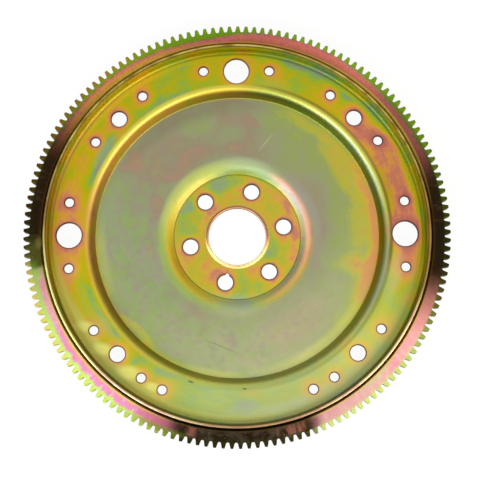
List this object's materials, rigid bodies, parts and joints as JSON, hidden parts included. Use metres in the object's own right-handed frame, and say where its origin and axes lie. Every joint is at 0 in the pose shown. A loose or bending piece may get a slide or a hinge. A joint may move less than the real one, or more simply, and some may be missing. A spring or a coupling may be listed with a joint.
{
  "type": "flexplate",
  "caption": "Round pressed-steel flexplate: a stepped dish with a drilled hub, converter bolt holes and a toothed starter ring on its flanged rim.",
  "frame": {"origin": "centre of the hub's back face, where the plate bolts to the crankshaft and on which it lies", "axes": "+Z along the axis to the torque converter's side; +X and +Y through the access holes, the quarter without one at -Y"},
  "size_m": [0.3366, 0.3366, 0.026],
  "materials": {
    "plated_sheet": "yellow zinc plating, satin, iridescent",
    "plated_gear": "turned face under yellow zinc plating",
    "plated_weld": "rough weld under yellow zinc plating"
  },
  "bodies": {
    "root": {"center_plate": "plated_sheet", "ring_gear": "plated_gear", "weld_beads": "plated_weld"}
  },
  "joints": []
}
